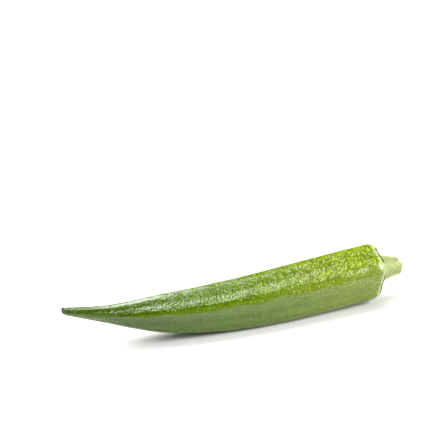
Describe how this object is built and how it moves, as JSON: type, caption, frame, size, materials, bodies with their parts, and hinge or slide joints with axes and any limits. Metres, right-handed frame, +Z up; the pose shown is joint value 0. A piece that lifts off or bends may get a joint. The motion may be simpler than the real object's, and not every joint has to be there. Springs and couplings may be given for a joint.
{
  "type": "okra pod",
  "caption": "Fresh ribbed okra pod lying on its side, with a slender curved beak and a short flared cut stalk.",
  "frame": {"origin": "on the surface that the pod lies on, below the middle of its box", "axes": "+Z up; +X along the pod, from the tip of the beak to the cut stalk; the side that faces -Y is the one with a ridge just above its middle"},
  "size_m": [0.135, 0.0216, 0.0218],
  "materials": {
    "pod_skin": "fresh matt-satin plant skin, bright green, with a fine pale down",
    "stalk_flesh": "pale yellow-green stem, softly fibrous, matt"
  },
  "bodies": {
    "root": {"pod": "pod_skin", "stalk": "stalk_flesh"}
  },
  "joints": []
}
